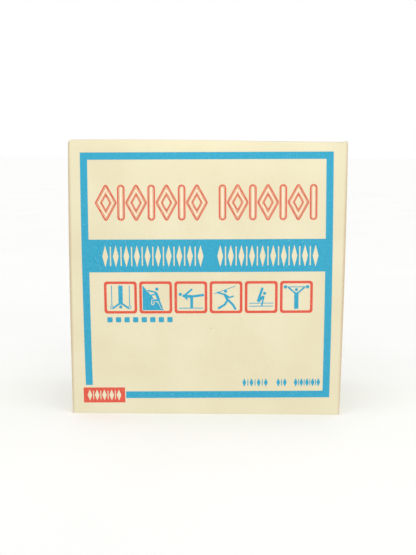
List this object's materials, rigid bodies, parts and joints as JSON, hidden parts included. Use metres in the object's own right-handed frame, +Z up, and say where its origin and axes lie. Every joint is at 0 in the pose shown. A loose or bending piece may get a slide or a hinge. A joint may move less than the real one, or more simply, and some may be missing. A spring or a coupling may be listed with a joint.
{
  "type": "gymnastics chalk block carton",
  "caption": "Upright paperboard carton with hinged tuck-in lid and base, printed front, filled with paper-wrapped blocks of pressed gymnastics chalk.",
  "frame": {"origin": "centre of the carton's footprint, on the surface that it stands on", "axes": "+Z up, -Y out of the printed front, +X to the right as the front is seen"},
  "size_m": [0.107, 0.055, 0.108],
  "materials": {
    "paperboard": "matte",
    "chalk": "matte",
    "wrapping_paper": "matte"
  },
  "bodies": {
    "carton": {"front_panel": "paperboard", "back_panel": "paperboard", "left_panel": "paperboard", "right_panel": "paperboard", "glue_flap": "paperboard", "chalk_block_1": "chalk", "chalk_block_2": "chalk", "chalk_block_3": "chalk", "chalk_block_4": "chalk", "chalk_block_5": "chalk", "chalk_block_6": "chalk", "chalk_block_7": "chalk", "chalk_block_8": "chalk", "paper_wrap_1": "wrapping_paper", "paper_wrap_2": "wrapping_paper", "paper_wrap_3": "wrapping_paper", "paper_wrap_4": "wrapping_paper", "paper_wrap_5": "wrapping_paper", "paper_wrap_6": "wrapping_paper", "paper_wrap_7": "wrapping_paper", "paper_wrap_8": "wrapping_paper"},
    "lid": {"lid_panel": "paperboard"},
    "lid_tuck": {"lid_tuck_flap": "paperboard"},
    "top_left_dust": {"top_left_dust_flap": "paperboard"},
    "top_right_dust": {"top_right_dust_flap": "paperboard"},
    "base": {"base_panel": "paperboard"},
    "base_tuck": {"base_tuck_flap": "paperboard"},
    "base_left_dust": {"base_left_dust_flap": "paperboard"},
    "base_right_dust": {"base_right_dust_flap": "paperboard"}
  },
  "joints": [
    {"name": "lid_hinge", "type": "hinge", "parent": "carton", "child": "lid", "pos_m": [0, 0.02725, 0.10775], "axis": [-1, 0, 0], "range_deg": [0, 135]},
    {"name": "lid_tuck_crease", "type": "hinge", "parent": "lid", "child": "lid_tuck", "pos_m": [0, -0.026, 0.10775], "axis": [1, 0, 0], "range_deg": [0, 54]},
    {"name": "top_left_dust_crease", "type": "hinge", "parent": "carton", "child": "top_left_dust", "pos_m": [-0.05325, 0, 0.10715], "axis": [0, -1, 0], "range_deg": [0, 81]},
    {"name": "top_right_dust_crease", "type": "hinge", "parent": "carton", "child": "top_right_dust", "pos_m": [0.05325, 0, 0.10715], "axis": [0, 1, 0], "range_deg": [0, 81]},
    {"name": "base_hinge", "type": "hinge", "parent": "carton", "child": "base", "pos_m": [0, -0.02725, 0.00025], "axis": [-1, 0, 0], "range_deg": [0, 135]},
    {"name": "base_tuck_crease", "type": "hinge", "parent": "base", "child": "base_tuck", "pos_m": [0, 0.026, 0.00025], "axis": [1, 0, 0], "range_deg": [0, 54]},
    {"name": "base_left_dust_crease", "type": "hinge", "parent": "carton", "child": "base_left_dust", "pos_m": [-0.05325, 0, 0.00085], "axis": [0, 1, 0], "range_deg": [0, 81]},
    {"name": "base_right_dust_crease", "type": "hinge", "parent": "carton", "child": "base_right_dust", "pos_m": [0.05325, 0, 0.00085], "axis": [0, -1, 0], "range_deg": [0, 81]}
  ],
  "couplings": [
    {"joint": "lid_tuck_crease", "follows": "lid_hinge", "ratio": 0.4},
    {"joint": "top_left_dust_crease", "follows": "lid_hinge", "ratio": 0.6},
    {"joint": "top_right_dust_crease", "follows": "lid_hinge", "ratio": 0.6},
    {"joint": "base_tuck_crease", "follows": "base_hinge", "ratio": 0.4},
    {"joint": "base_left_dust_crease", "follows": "base_hinge", "ratio": 0.6},
    {"joint": "base_right_dust_crease", "follows": "base_hinge", "ratio": 0.6}
  ]
}
